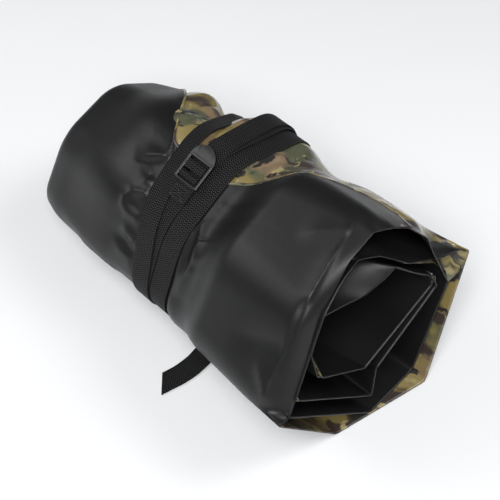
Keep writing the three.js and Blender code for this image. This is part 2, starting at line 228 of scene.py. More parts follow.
def inner_depth(x, facet):
    below = TURN_DEPTH * (facet / CORNERS + 0.63)
    under_strap = strap_bed(facet) + 0.012
    near = smooth(x, -124, -90) * (1 - smooth(x, 20, 60))
    on_top = (1 - smooth(facet, 0.75, 1.45)) * near
    return below * (1 - on_top) + under_strap * on_top


def corner_ease(x):
    """Rounded everywhere, and creased at the mouth."""
    return 0.27 - 0.13 * smooth(x, 60, 190)


# ---- creases, dents and bulges of the sheet ------------------------------------------------------
FACET_LENGTH = 92                 # mm, taken as the same all round when creases are laid out


def hump(x, facet):
    """The roll stands proud under the strap at the top back, and is pulled in beside it."""
    place = np.mod(facet + CORNERS / 2, CORNERS) - CORNERS / 2
    swell = np.exp(-(place / 0.7) ** 2)
    raised = smooth(x, -60, -36) * (1 - smooth(x, 8, 40))
    beside = 27 * np.exp(-((x + 88) / 26) ** 2) + 8 * np.exp(-((x - 64) / 26) ** 2)
    return swell * (4.5 * raised - beside)


def along_line(x, s, line):
    """Share of the way along a line, distance to its side and distance beyond its ends."""
    (x0, f0), (x1, f1) = line
    dx, ds = x1 - x0, (f1 - f0) * FACET_LENGTH
    length = math.hypot(dx, ds)
    px, ps = x - x0, s - f0 * FACET_LENGTH
    t = (px * dx + ps * ds) / length ** 2
    side = (px * ds - ps * dx) / length
    beyond = np.maximum(0, np.maximum(-t, t - 1)) * length
    return np.clip(t, 0, 1), side, beyond


def crease(x, s, line, height, left, right, sharp=1.0, fade=(0.25, 0.25)):
    """A ridge (or furrow) along a line, with its own width on each side and fading ends."""
    t, side, beyond = along_line(x, s, line)
    width = np.where(side > 0, right, left)
    across = np.exp(-np.power(np.abs(side) / width, sharp))
    ends = smooth(t, 0, fade[0]) * (1 - smooth(t, 1 - fade[1], 1))
    return height * across * ends * np.exp(-(beyond / 6) ** 2)


def bump(x, s, centre, size, height, turn=0.0):
    """A rounded swelling, or a dent where height is negative, turned by some degrees."""
    angle = math.radians(turn)
    dx = x - centre[0]
    ds = s - centre[1] * FACET_LENGTH
    a = dx * math.cos(angle) + ds * math.sin(angle)
    b = -dx * math.sin(angle) + ds * math.cos(angle)
    return height * np.exp(-(a / size[0]) ** 2 - (b / size[1]) ** 2)


def ripples(x, s, seed, scale, count=10):
    """Gentle, repeatable unevenness: a sum of waves in random directions."""
    rng = np.random.default_rng(seed)
    total = np.zeros_like(x)
    for _ in range(count):
        angle, phase, stretch = rng.uniform(0, math.tau, 2).tolist() + [rng.uniform(0.6, 1.7)]
        wave = (x * math.cos(angle) + s * math.sin(angle)) * stretch / scale + phase
        total += np.sin(wave)
    return total / math.sqrt(count)


BANDS = [                         # middle of each band of the strap round the waist, and its place
    [(0, 2), (0.4, 4.5), (1, 0.6), (2, -1.2), (3, -5.2), (4, -6), (5, -28), (6, -50), (7, -68)],
    [(0, -68), (1, -54), (1.6, -47), (2, -39), (3, -29), (4, -33), (5, -37), (6, -36), (7, -26)],
    [(0, -24), (1, -21), (2, -27), (3, -31), (4, -32), (5, -26), (6, -13), (7, 2)],
]


def band_distance(x, facet):
    """Distance along X to the nearest edge of a band; 0 below one. Positive on the mouth side."""
    place = np.mod(facet, CORNERS)
    gaps = np.array([x - np.interp(place, *zip(*band)) for band in BANDS])
    clear = np.sign(gaps) * np.maximum(0, np.abs(gaps) - WEB_WIDTH / 2)
    nearest = np.abs(clear).argmin(0)
    return np.take_along_axis(clear, nearest[None], 0)[0]


def gathers(x, facet):
    """Short pleats that run out from under the strap, on both sides."""
    distance = band_distance(x, facet)
    reach = np.abs(distance)
    s = facet * FACET_LENGTH
    waves = (np.sin(s * math.tau / 31 + 1.3 * np.sin(s / 23)) + 0.6 * np.sin(s * math.tau / 17 + 2.0))
    swell = smooth(reach, 0, 9) * np.exp(-reach / 24)
    return 0.5 * waves * swell


def outside_relief(x, facet):
    """How far the outermost layer stands off its section, mm."""
    s = facet * FACET_LENGTH
    away = smooth(np.abs(band_distance(x, facet)), 0, 6)
    d = gathers(x, facet)
    # closed side of the strap: the conical pleat, the dimple, the horseshoe and the pocket folds
    d += crease(x, s, [(-101, 1.66), (-62, 1.36)], 7, 2.6, 16, 1.3, (0.5, 0.05))
    d += bump(x, s, (-72, 1.66), (9, 6), -2.5, 20)
    d += bump(x, s, (-64, 1.72), (6, 6), 3.5)
    d += crease(x, s, [(-58, 1.84), (-82, 1.94)], 3.4, 5, 5, 1.6, (0.1, 0.35))
    d += crease(x, s, [(-83, 1.93), (-80, 2.18)], 3.2, 5, 5, 1.6, (0.2, 0.2))
    d += crease(x, s, [(-82, 2.16), (-54, 2.16)], 3.4, 5, 5, 1.6, (0.35, 0.1))
    d += bump(x, s, (-66, 2.06), (13, 8), -2.2)
    d += crease(x, s, [(-48, 2.46), (-80, 2.36)], 3.6, 7, 4, 1.5, (0.1, 0.5))
    d += crease(x, s, [(-48, 2.68), (-88, 2.60)], 3.2, 4, 8, 1.5, (0.1, 0.5))
    d += bump(x, s, (-68, 2.54), (17, 8), -2.6)
    d += crease(x, s, [(-184, 2.83), (-80, 2.97)], 1.6, 4, 9, 1.2, (0.3, 0.2))
    d += crease(x, s, [(-150, 3.02), (-66, 3.10)], 2.2, 8, 6, 1.3)
    # mouth side of the strap: a deep pocket with a curved ridge
    d += bump(x, s, (15, 2.02), (7, 24), -6.5, -8)
    d += crease(x, s, [(10, 1.66), (25, 1.88)], 2.6, 5, 6, 1.5, (0.4, 0.1))
    d += crease(x, s, [(25, 1.84), (31, 2.18)], 4.2, 5, 8, 1.5, (0.2, 0.2))
    d += crease(x, s, [(31, 2.14), (18, 2.66)], 4.0, 5, 8, 1.5, (0.2, 0.5))
    d += bump(x, s, (26, 2.95), (20, 40), 5.0)
    d += bump(x, s, (-120, 2.95), (60, 30), 1.5)
    # towards the mouth: facets and a soft swelling
    d += crease(x, s, [(120, 1.50), (164, 1.20)], 2.4, 5, 12, 1.2, (0.4, 0.1))
    d += crease(x, s, [(110, 2.60), (178, 2.35)], -2.5, 16, 10, 1.6, (0.5, 0.1))
    d += crease(x, s, [(160, 1.25), (178, 1.95)], 3.2, 7, 3, 1.1, (0.4, 0.15))
    d += crease(x, s, [(172, 1.8), (186, 2.9)], -3.6, 3, 7, 1.1, (0.2, 0.25))
    d += crease(x, s, [(150, 2.55), (184, 2.85)], 2.6, 3, 8, 1.1, (0.5, 0.15))
    d += bump(x, s, (95, 1.9), (60, 60), 3.0)
    d += bump(x, s, (-150, 1.6), (45, 70), 4.0)
    d += 0.45 * ripples(x, s, 5, 38)
    return np.maximum(d, DEEPEST_DENT) * away


def flap_relief(x, facet):
    """Bulges of the printed flap over the top, between and beside the bands."""
    s = facet * FACET_LENGTH
    away = smooth(np.abs(band_distance(x, facet)), 0, 5)
    d = crease(x, s, [(-50, 0.2), (-46, 1.5)], 8, 4, 5, 1.6, (0.2, 0.3))
    d += crease(x, s, [(-53, 0.45), (-52, 1.4)], 2.5, 2, 2, 1.0)
    d += bump(x, s, (-122, 0.30), (9, 26), 3, 20)
    d += bump(x, s, (-98, 0.34), (8, 30), 5, 10)
    d += crease(x, s, [(-110, 0.05), (-104, 0.8)], -4, 3, 4, 1.2)
    d += crease(x, s, [(-92, 0.95), (-84, 0.40)], 3, 2.5, 5, 1.1)
    d += bump(x, s, (26, 0.62), (10, 16), 7, -15)
    d += crease(x, s, [(15, 0.84), (21, 0.36)], 4.5, 2.5, 4, 1.1)
    d += crease(x, s, [(26, 0.80), (36, 0.30)], -3.5, 3, 3, 1.2)
    d += bump(x, s, (46, 0.35), (12, 22), 4)
    d += crease(x, s, [(50, 0.9), (66, 0.1)], 2.0, 4, 6, 1.2)
    d += crease(x, s, [(84, 0.6), (108, -0.2)], -2.2, 5, 7, 1.2)
    d += crease(x, s, [(120, 0.3), (190, 0.1)], 3, 4, 8, 1.4)
    d += 0.8 * ripples(x, s, 9, 17)
    return (d + 1.5 * gathers(x, facet)) * away


# ---- mesh making ---------------------------------------------------------------------------------
def new_piece(name, points, faces, uvs=None):
    """A smooth-shaded object from points in the design frame."""
    mesh = bpy.data.meshes.new(name)
    placed = (np.asarray(points, float).reshape(-1, 3) + OFFSET) * 0.001
    mesh.from_pydata(placed.tolist(), [], [tuple(int(i) for i in f) for f in faces])
    if uvs is not None:
        layer = mesh.uv_layers.new(name="flat")
        loops = np.zeros(len(mesh.loops), int)
        mesh.loops.foreach_get("vertex_index", loops)
        layer.data.foreach_set("uv", np.asarray(uvs, float).reshape(-1, 2)[loops].ravel())
    for polygon in mesh.polygons:
        polygon.use_smooth = True
    piece = bpy.data.objects.new(name, mesh)
    bpy.context.scene.collection.objects.link(piece)
    return piece


def grid_faces(rows, columns, wrap=False):
    """Four-sided faces between the points of a grid; wrap joins its last column to its first."""
    across = columns if wrap else columns - 1
    r, c = np.meshgrid(np.arange(rows - 1), np.arange(across), indexing="ij")
    n = (c + 1) % columns
    return np.stack([r * columns + c, (r + 1) * columns + c, (r + 1) * columns + n,
                     r * columns + n], -1).reshape(-1, 4)


def apply_modifiers(piece):
    depsgraph = bpy.context.evaluated_depsgraph_get()
    depsgraph.update()
    mesh = bpy.data.meshes.new_from_object(piece.evaluated_get(depsgraph))
    piece.modifiers.clear()
    piece.data = mesh


def row_places():
    """Places along X, closer together by the strap and at both ends."""
    parts = [np.arange(CLOSED_END + FOLD_BULGE, -196, 3), np.arange(-196, -124, 5),
             np.arange(-124, 60, 2.2), np.arange(60, 160, 4), np.arange(160, MOUTH_END, 2.4),
             [MOUTH_END]]
    return np.concatenate(parts)


def column_places():
    """Places along the wrap: close together on the outside, and with one at every corner."""
    outer_turn = np.arange(-28, 141) * 0.05
    per_facet = np.array([0, 0.04, 0.12, 0.24, 0.37, 0.5, 0.63, 0.76, 0.88, 0.96])
    inner_turns = (np.arange(7, 20)[:, None] + per_facet).ravel()
    return np.concatenate([outer_turn, inner_turns[1:], [20, 20.25, TURNS_END]])


def shifted(columns, start):
    """The columns, with the first ones moved so that the first lies at start."""
    fixed = 1.9
    share = np.clip((columns - columns[0]) / (fixed - columns[0]), 0, 1)
    return np.where(share < 1, start + share * (fixed - start), columns)


def sheet_rows():
    """One row per place along the folded sheet: outer ply from mouth to fold, inner ply back again.
    Gives each point's x, its place along the wrap and its share of the inner ply."""
    along = row_places()
    columns = column_places()
    rows = [(x, 0.0) for x in along[::-1]]
    rows += [(CLOSED_END + FOLD_BULGE, share) for share in (0.2, 0.4, 0.6, 0.8)]
    rows += [(x, 1.0) for x in along]
    xs, facets, shares = [], [], []
    for x, inner in rows:
        start = (1 - inner) * float(profile(x, OUTER_START, 7)) + inner * float(inner_start(x))
        bulge = FOLD_BULGE * math.sin(math.pi * inner)
        xs.append(np.full(len(columns), x - bulge))
        facets.append(shifted(columns, start))
        shares.append(np.full(len(columns), inner))
    return np.array(xs), np.array(facets), np.array(shares)


def pull_to_edge(x, facet, inner):
    """How far each point moves so that the sheet ends at its cut edge."""
    start = profile(facet, BEND_START, 0.06)
    share = np.clip((x - start) / (MOUTH_END - start), 0, 1) ** 1.3
    at_end = np.full_like(facet, MOUTH_END)
    moved = []
    for table, level, ply in ((OUTER_EDGE, OUTER_LEVEL, 1 - inner), (INNER_EDGE, INNER_LEVEL, inner)):
        edge = np.stack([profile(facet, [(row[0], row[k]) for row in table], 0.02)
                         for k in (1, 2, 3)], -1)
        free = section(at_end, facet, profile(facet, level, 0.15), np.zeros_like(facet),
                       corner_ease(at_end))
        free = np.concatenate([at_end[..., None], free], -1)
        moved.append((edge - free) * (ply * share)[..., None])
    return moved[0] + moved[1]


def lay(x0, facet, inner):
    """Points of the sheet's black face and their outward directions. inner is 0 on the outer ply,
    1 on the inner ply and between them in the fold."""
    setback = np.interp(np.mod(facet, CORNERS), *zip(*FOLD_SETBACK))
    x = x0 + setback * (1 - smooth(x0, CLOSED_END - 8, -110))

    def place(at):
        level = ((1 - inner) * profile(at, OUTER_LEVEL, 0.15)
                 + inner * profile(at, INNER_LEVEL, 0.15))
        depth = (1 - inner) * outer_depth(at) + inner * inner_depth(x, at)
        return section(x, at, level, depth, corner_ease(x))

    run = place(facet + 0.01) - place(facet - 0.01)
    out = np.stack([np.zeros_like(x), run[..., 1], -run[..., 0]], -1)
    out /= np.linalg.norm(out, axis=-1, keepdims=True) + 1e-9
    is_flap = inner * (1 - smooth(facet, 0.9, 1.3))
    turn_fade = np.where(facet < 5.7, 1.0, np.where(facet < 9, 0.45, 0.2))
    relief = outside_relief(x, facet) * turn_fade * (1 - is_flap)
    relief = relief + is_flap * flap_relief(x, facet)
    relief = relief + hump(x, facet) * (1 - 0.12 * smooth(facet, 8, 14))
    relief = relief - UNDER_FLAP * smooth(facet, 5.3, 5.8) * np.exp(-((x + 92) / 32) ** 2)
    points = np.concatenate([x[..., None], place(facet)], -1) + out * relief[..., None]
    points += pull_to_edge(x, facet, inner)
    floor = GAP + PLY_PITCH * (np.clip(facet, 0, 3 * CORNERS) / CORNERS * 2 + inner)
    over = points[..., 2] - floor - SOFT_FLOOR
    eased = np.where(over > 0, over / SOFT_FLOOR + 1, np.exp(np.minimum(over, 0) / SOFT_FLOOR))
    points[..., 2] = floor + SOFT_FLOOR * eased
    return points, out


def build_sheet():
    x0, facet, inner = sheet_rows()
    points, _ = lay(x0, facet, inner)
    return new_piece("ground_sheet", points, grid_faces(*x0.shape), flat_coordinates(points))


def flat_coordinates(points):
    """Lengths along the sheet both ways, in metres, so that a print keeps its scale."""
    def run(axis):
        steps = np.linalg.norm(np.diff(points, axis=axis), axis=-1)
        mean = steps.mean(axis=1 - axis)
        return np.concatenate([[0], np.cumsum(mean)]) * 0.001
    u, v = np.meshgrid(run(0), run(1), indexing="ij")
    return np.stack([u, v], -1)


def build_edge_hem():
    """The welded hem on the outer ply's free edge: the printed side turned over onto the black."""
    along = row_places()[::-1]
    starts = profile(along, OUTER_START, 7)
    around = [(-0.004, -0.9), (-0.010, -0.2), (-0.008, 0.5), (0.0, 0.8), (0.02, 0.7), (0.028, 0.4),
              (0.03, 0.1)]
    facet = starts[:, None] + np.array([step for step, _ in around])
    lift = np.array([rise for _, rise in around])
    x0 = np.repeat(along[:, None], len(around), 1)
    points, out = lay(x0, facet, np.zeros_like(x0))
    points += out * lift[None, :, None]
    return new_piece("free_edge_hem", points, grid_faces(*x0.shape), flat_coordinates(points))


# ---- the strap -----------------------------------------------------------------------------------
pivot = np.array(frame["joints"][0]["pos_m"]) * 1000 - OFFSET
STRAP_X = pivot[0]


def waist_point(facet, ease=0.27):
    facet = np.asarray(facet, float)
    x = np.full_like(facet, STRAP_X)
    return section(x, facet, np.zeros_like(facet), strap_bed(facet), np.full_like(facet, ease))


# the facet that carries the buckle: its direction upwards, and square to it out from the roll
slope_run = waist_point(1.1, 0.1) - waist_point(1.9, 0.1)
slope = slope_run / np.linalg.norm(slope_run)
slope_out = np.array([-slope[1], slope[0]])
facet_length = np.linalg.norm(slope_run) / 0.8
buckle_origin = pivot[1:] - TILT_PIVOT[0] * slope - TILT_PIVOT[1] * slope_out
HIDDEN_JOIN = 22.5 - STILL_FROM / facet_length

# place along the wrap in facets, X, layers of webbing below, and roll about the strap's own line
WINDINGS = [(1.5, STRAP_X, 0, 0), (2, -27, 0, 0), (3, -31, 0, 0), (4, -32, 0, 0), (5, -26, 0, 0),
            (6, -13, 0, 0), (7, 2, 0, 0), (7.4, 4.5, 0, 0), (7.7, 3, 0, 0), (8, 0.6, 0, 0),
            (9, -1.2, 0, 0), (10, -5.2, 0, 0), (11, -6, 1, 0), (12, -30, 1, 0), (13, -52, 1, 0),
            (14, -68, 0, 0), (14.5, -62, 0.6, 12), (15, -54, 1.2, 22), (15.35, -51, 1.0, 14),
            (15.72, -46, 1, 0),
            (16, -39, 1, 0), (17, -29, 1, 0), (18, -33, 1, 0), (19, -38, 2, 0), (20, -37, 2, 0),
            (21, -22, 1.6, 0), (21.4, -18.5, 1.2, 0), (21.9, -18.5, 1, 2), (HIDDEN_JOIN, STRAP_X, 0, 0)]
TAIL = [(HIDDEN_JOIN, STRAP_X, 1, 0), (21.9, -21, 2, 2), (21.5, -25, 2.2, 0), (21, -27, 2.6, 0),
        (20, -24, 3, 0), (19, -13, 3, 0), (18.8, -10, 3, 0)]
# centre points of the tail beyond the windings: x, y and z
TAIL_ON_GROUND = [(-4, 36, 0.8), (9, 0, 0.8), (24, -40, 0.8), (36, -75, 1.0), (38, -103, 1.2),
                  (32.5, -130, 0.9)]
# the webbing at the buckle: up the slope from the buckle's lower edge, then out from the roll
LOOP = [(-19, 2.7), (-2, 2.7), (2.4, 2.7), (3.9, 3.6), (4.5, 5.4), (4.6, 7.4), (5.6, 8.6),
        (7.5, 9.0), (9.5, 8.5), (11.0, 7.0), (11.5, 5.0), (11.0, 3.0), (9.5, 1.5), (7.5, 1.0),
        (4.0, 1.0)]
THREADED = [(30.5, 1), (17, 1), (15.4, 1), (13.9, 2.5), (13.9, 7.2), (15.2, 8.4), (22.2, 8.4),
            (23.5, 7.2), (23.5, 4.4), (25.2, 2.8), (27.5, 2.7), (30.5, 2.7)]


def wound_path(rows):
    """Centre points and rolls along a route that is given in places along the wrap."""
    first, last = rows[0][0], rows[-1][0]
    ordered = sorted(rows)
    facet = np.linspace(first, last, max(2, int(abs(last - first) / 0.035)))
    x, layer, roll = (profile(facet, [(row[0], row[k]) for row in ordered], blur)
                      for k, blur in ((1, 0.25), (2, 0.1), (3, 0.25)))
    step = 0.01
    run = waist_point(facet + step) - waist_point(facet - step)
    out = np.stack([run[:, 1], -run[:, 0]], -1)
    out /= np.linalg.norm(out, axis=1, keepdims=True)
    rise = GAP + WEB / 2 + LAYER * layer + hump(x, facet)
    place = waist_point(facet) + out * rise[:, None]
    return np.column_stack([x, place]), roll


def in_buckle(points):
    """From (across, up the slope, out from the roll) to the design frame."""
    points = np.asarray(points, float)
    place = buckle_origin + points[:, 1:2] * slope + points[:, 2:3] * slope_out
    return np.column_stack([STRAP_X + points[:, 0], place])


def rounded(points, times):
    """Cuts the corners off a path, over and over, and keeps its ends."""
    points = np.asarray(points, float)
    for _ in range(times):
        a, b = points[:-1], points[1:]
        cut = np.stack([0.75 * a + 0.25 * b, 0.25 * a + 0.75 * b], 1).reshape(-1, 3)
        points = np.concatenate([points[:1], cut, points[-1:]])
    return points


def unit(v):
    return v / (np.linalg.norm(v, axis=-1, keepdims=True) + 1e-12)


def even(points, extra, spacing):
    """Evenly spaced points on a path, an extra value at each, and the lengths up to them."""
    lengths = np.concatenate([[0], np.cumsum(np.linalg.norm(np.diff(points, axis=0), axis=1))])
    places = np.linspace(0, lengths[-1], max(3, int(lengths[-1] / spacing)))
    spread = np.column_stack([np.interp(places, lengths, points[:, k]) for k in range(3)])
    return spread, np.interp(places, lengths, extra), places


def ribbon(name, points, roll=None, slant=0.0, spacing=2.2):
    """Webbing with thick woven edges along a path. It stays square to the roll's outside."""
    roll = np.zeros(len(points)) if roll is None else roll
    centre, roll, along = even(np.asarray(points, float), roll, spacing)
    tangent = unit(np.gradient(centre, axis=0))
    across_axis = np.array([1.0, 0, 0])
    out = unit(np.cross(tangent, across_axis))
    for _ in range(4):
        out[1:-1] = unit(out[:-2] + 2 * out[1:-1] + out[2:])
    side = unit(np.cross(out, tangent))
    out = unit(np.cross(tangent, side))
    angle = np.radians(roll)[:, None]
    side, out = (np.cos(angle) * side + np.sin(angle) * out,
                 np.cos(angle) * out - np.sin(angle) * side)
    us = np.array([-1, -0.97, -0.85, -0.5, 0, 0.5, 0.85, 0.97, 1])
    thick = np.array([0.25, 0.85, 1.0, 0.9, 0.9, 0.9, 1.0, 0.85, 0.25]) * WEB / 2
    ring_u = np.concatenate([us, us[::-1]])
    ring_n = np.concatenate([thick, -thick[::-1]])
    wobble = 1 + 0.006 * np.sin(along / 3.1) + 0.006 * np.sin(along / 7.7)
    half = WEB_WIDTH / 2 * wobble
    shear = np.zeros(len(centre))
    shear[-8:] = np.linspace(0, 1, 8) * slant
    grid = (centre[:, None] + side[:, None] * (half[:, None] * ring_u)[..., None]
            + out[:, None] * ring_n[None, :, None]
            + tangent[:, None] * (shear[:, None] * ring_u)[..., None])
    grid[..., 2] = np.maximum(grid[..., 2], 0.05)
    rows, columns = grid.shape[:2]
    faces = grid_faces(rows, columns, wrap=True).tolist()
    faces.append(list(range(columns)))
    faces.append([(rows - 1) * columns + k for k in range(columns)][::-1])
    uv = np.stack(np.broadcast_arrays((ring_u + 1)[None, :] * WEB_WIDTH / 2, along[:, None]), -1)
    return new_piece(name, grid, faces, uv)


def build_strap():
    loop = rounded(in_buckle([(0, s, n) for s, n in LOOP]), 2)
    wound, roll = wound_path(WINDINGS)
    path = np.concatenate([loop, wound])
    return ribbon("wound_strap", path, np.concatenate([np.zeros(len(loop)), roll]))


def build_tail():
    wound, roll = wound_path(TAIL)
    ground = rounded(TAIL_ON_GROUND, 3)
    path = np.concatenate([wound, ground])
    return ribbon("strap_end", path, np.concatenate([roll, np.zeros(len(ground))]), slant=7.5)


def build_threaded():
    path = rounded(in_buckle([(0, s, n) for s, n in THREADED]), 2)
    return ribbon("buckle_webbing", path, spacing=0.8)


# ---- the buckle ----------------------------------------------------------------------------------
def block(form, x, s, n, round_by):
    """Adds a box with rounded edges, from ranges across, up and out."""
    made = bmesh.ops.create_cube(form, size=1)["verts"]
    for v in made:
        v.co = Vector(low + (high - low) * (c + 0.5) for c, (low, high) in zip(v.co, (x, s, n)))
    edges = {e for v in made for e in v.link_edges}
    bmesh.ops.bevel(form, geom=list(edges), offset=round_by, segments=3, profile=0.5, affect="EDGES")


def half_disc(form, half, start, end, low, high):
    """Adds the rounded lift tab, from start up to end."""
    steps = [math.pi * k / 32 for k in range(33)]
    rim = [(half * math.cos(a), start + (end - start) * math.sin(a)) for a in steps]
    bottom = [form.verts.new((x, s, low)) for x, s in rim]
    top = [form.verts.new((x, s, high)) for x, s in rim]
    form.faces.new(bottom[::-1])
    form.faces.new(top)
    for k in range(len(rim)):
        j = (k + 1) % len(rim)
        form.faces.new((bottom[k], bottom[j], top[j], top[k]))


def build_buckle():
    """Two rails, four cross bars and a lift tab, fused into one moulding and bent at the tab."""
    form = bmesh.new()
    for side in (-1, 1):
        rail = sorted((side * 13.2, side * 16.5))
        block(form, rail, (0.0, 30.0), (5.0, 7.6), 0.9)
    for start, end, top, round_by in ((0.0, 2.2, 7.2, 0.8), (6.0, 9.0, 7.2, 1.0),
                                      (16.0, 21.5, 7.2, 1.0), (27.0, 30.5, 7.9, 0.8)):
        block(form, (-15, 15), (start, end), (5.0, top), round_by)
    half_disc(form, 16.4, 28.5, 44.0, 5.2, 7.7)
    mesh = bpy.data.meshes.new("ladder_lock_moulding")
    form.to_mesh(mesh)
    form.free()
    piece = bpy.data.objects.new("ladder_lock_moulding", mesh)
    bpy.context.scene.collection.objects.link(piece)
    fuse = piece.modifiers.new("fuse", "REMESH")
    fuse.mode = "VOXEL"
    fuse.voxel_size = 0.42
    soften = piece.modifiers.new("soften", "SMOOTH")
    soften.factor = 0.5
    soften.iterations = 4
    apply_modifiers(piece)
    count = len(piece.data.vertices)
    points = np.zeros(count * 3)
    piece.data.vertices.foreach_get("co", points)
    points = points.reshape(-1, 3)
    tab = np.clip((points[:, 1] - 30) / 14, 0, 1)
    points[:, 2] += 3.0 * tab ** 2 - 0.5 * tab * (np.abs(points[:, 0]) < 9)
    placed = (in_buckle(points) + OFFSET) * 0.001
    piece.data.vertices.foreach_set("co", placed.ravel())
    for polygon in piece.data.polygons:
        polygon.use_smooth = True
    piece.data.update()
    return piece


def build_stitching():
    """A box of short raised stitches with a cross, through the turned-back end of the strap."""
    half, low, high = 9.5, -17.5, -5
    box = [(-half, low), (half, low), (half, high), (-half, high), (-half, low), (half, high),
           (half, low), (-half, high)]
    form = bmesh.new()
    for (x0, s0), (x1, s1) in zip(box[:-1], box[1:]):
        length = math.hypot(x1 - x0, s1 - s0)
        count = int(length / 2.4)
        for k in range(count):
            t = (k + 0.5) / count
            made = bmesh.ops.create_uvsphere(form, u_segments=8, v_segments=6, radius=1)["verts"]
            spin = Matrix.Rotation(math.atan2(s1 - s0, x1 - x0), 3, "Z")
            for v in made:
                v.co = spin @ Vector((v.co.x * 0.95, v.co.y * 0.3, v.co.z * 0.24))
                v.co += Vector((x0 + (x1 - x0) * t, s0 + (s1 - s0) * t, 2.7 + WEB / 2 + 0.08))
    points = in_buckle([tuple(v.co) for v in form.verts])
    form.verts.index_update()
    faces = [[v.index for v in f.verts] for f in form.faces]
    form.free()
    return new_piece("box_stitching", points, faces)


# ---- materials -----------------------------------------------------------------------------------
class Look:
    """A small helper that builds one procedural material."""

    def __init__(self, name):
        self.material = bpy.data.materials.new(name)
        self.material.use_nodes = True
        self.nodes = self.material.node_tree.nodes
        self.links = self.material.node_tree.links
        self.shader = self.nodes["Principled BSDF"]

    def set(self, **values):
        for name, value in values.items():
            self.shader.inputs[name.replace("_", " ")].default_value = value

    def add(self, kind, inputs=None, **settings):
        node = self.nodes.new(kind)
        for name, value in settings.items():
            setattr(node, name, value)
        for name, value in (inputs or {}).items():
            if isinstance(value, bpy.types.NodeSocket):
                self.links.new(value, node.inputs[name])
            else:
                node.inputs[name].default_value = value
        return node

    def flat(self, turn=0.0):
        uv = self.add("ShaderNodeUVMap", uv_map="flat").outputs["UV"]
        mapping = self.add("ShaderNodeMapping", {"Vector": uv, "Rotation": (0, 0, turn)})
        return mapping.outputs["Vector"]

    def solid(self):
        return self.add("ShaderNodeTexCoord").outputs["Object"]

    def noise(self, vector, scale, detail=3.0, roughness=0.5, distortion=0.0):
        return self.add("ShaderNodeTexNoise", {
            "Vector": vector, "Scale": scale, "Detail": detail, "Roughness": roughness,
            "Distortion": distortion}).outputs["Fac"]

    def math(self, operation, *values):
        node = self.add("ShaderNodeMath", operation=operation)
        for k, value in enumerate(values):
            if isinstance(value, bpy.types.NodeSocket):
                self.links.new(value, node.inputs[k])
            else:
                node.inputs[k].default_value = value
        return node.outputs[0]

    def ramp(self, value, stops):
        """Stops are (place, colour) pairs; a colour is three numbers, or one for a grey."""
        node = self.add("ShaderNodeValToRGB", {"Fac": value})
        elements = node.color_ramp.elements
        while len(elements) < len(stops):
            elements.new(0.5)
        for element, (place, colour) in zip(elements, stops):
            element.position = place
            element.color = (*colour, 1) if isinstance(colour, tuple) else (colour,) * 3 + (1,)
        return node.outputs["Color"]

    def mix(self, share, a, b):
        node = self.add("ShaderNodeMix", data_type="RGBA")
        for name, value in (("Factor", share), ("A", a), ("B", b)):
            socket = next(i for i in node.inputs if i.name == name and i.enabled)
            if isinstance(value, bpy.types.NodeSocket):
                self.links.new(value, socket)
            else:
                socket.default_value = (*value, 1) if isinstance(value, tuple) else value
        return next(o for o in node.outputs if o.enabled)

    def bumps(self, *layers):
        """Each layer is a height, its strength and its depth in metres."""
        normal = None
        for height, strength, depth in layers:
            node = self.add("ShaderNodeBump", {"Height": height, "Strength": strength,
                                               "Distance": depth})
            if normal is not None:
                self.links.new(normal, node.inputs["Normal"])
            normal = node.outputs["Normal"]
        self.links.new(normal, self.shader.inputs["Normal"])

    def colour(self, socket):
        self.links.new(socket, self.shader.inputs["Base Color"])

    def rough(self, socket):
        self.links.new(socket, self.shader.inputs["Roughness"])


def black_face():
    look = Look("black_coated_face")
    flat = look.flat()
    cloud = look.noise(flat, 9, 4)
    look.colour(look.ramp(cloud, [(0.3, (0.005, 0.0051, 0.0054)), (0.7, (0.009, 0.0091, 0.0095))]))
    fine = look.noise(flat, 900, 2)
    look.rough(look.ramp(look.math("ADD", look.math("MULTIPLY", cloud, 0.7),
                                   look.math("MULTIPLY", fine, 0.3)),
                         [(0.25, 0.37), (0.75, 0.48)]))
    look.set(Specular_IOR_Level=0.36)
    look.bumps((look.noise(flat, 1500, 2), 0.12, 0.0002), (look.noise(flat, 60, 3), 0.18, 0.0012))
    return look.material


